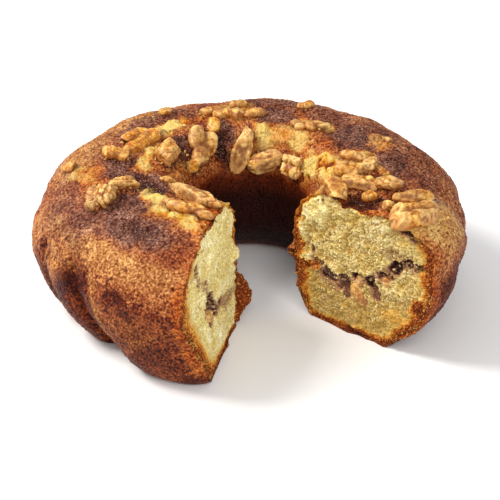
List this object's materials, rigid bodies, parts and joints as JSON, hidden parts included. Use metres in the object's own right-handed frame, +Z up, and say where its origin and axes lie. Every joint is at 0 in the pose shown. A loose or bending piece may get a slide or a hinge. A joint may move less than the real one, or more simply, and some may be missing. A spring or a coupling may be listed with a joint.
{
  "type": "cinnamon walnut ring cake",
  "caption": "Fluted ring cake with a wedge cut out, a cinnamon layer showing at both cuts and walnut pieces baked into its browned top",
  "frame": {"origin": "on the surface the cake rests on, under the middle of its bounding box", "axes": "+Z up, +X to the right and +Y away from the side the wedge is cut from"},
  "size_m": [0.2453, 0.2374, 0.0901],
  "materials": {
    "crust": "browned cake crust, matt with a few sugary specks",
    "crumb": "open yellow cake crumb, matt",
    "cinnamon_filling": "dark cinnamon sugar, half moist",
    "walnut": "toasted walnut with skin left in its grooves, faint oily sheen"
  },
  "bodies": {
    "root": {"cake": "crust", "filling": "cinnamon_filling", "filling_walnut_big": "walnut", "filling_walnut_small": "walnut", "filling_walnut_left": "walnut", "walnut_01": "walnut", "walnut_02": "walnut", "walnut_03": "walnut", "walnut_04": "walnut", "walnut_05": "walnut", "walnut_06": "walnut", "walnut_07": "walnut", "walnut_08": "walnut", "walnut_09": "walnut", "walnut_10": "walnut", "walnut_11": "walnut", "walnut_12": "walnut", "walnut_13": "walnut", "walnut_14": "walnut", "walnut_15": "walnut", "walnut_16": "walnut", "walnut_17": "walnut", "walnut_18": "walnut", "walnut_19": "walnut", "walnut_20": "walnut", "walnut_21": "walnut", "walnut_22": "walnut", "walnut_23": "walnut", "walnut_24": "walnut", "walnut_25": "walnut", "walnut_26": "walnut", "walnut_27": "walnut", "walnut_28": "walnut", "walnut_29": "walnut", "walnut_30": "walnut", "walnut_31": "walnut", "walnut_32": "walnut", "walnut_33": "walnut", "walnut_34": "walnut", "walnut_35": "walnut"}
  },
  "joints": []
}
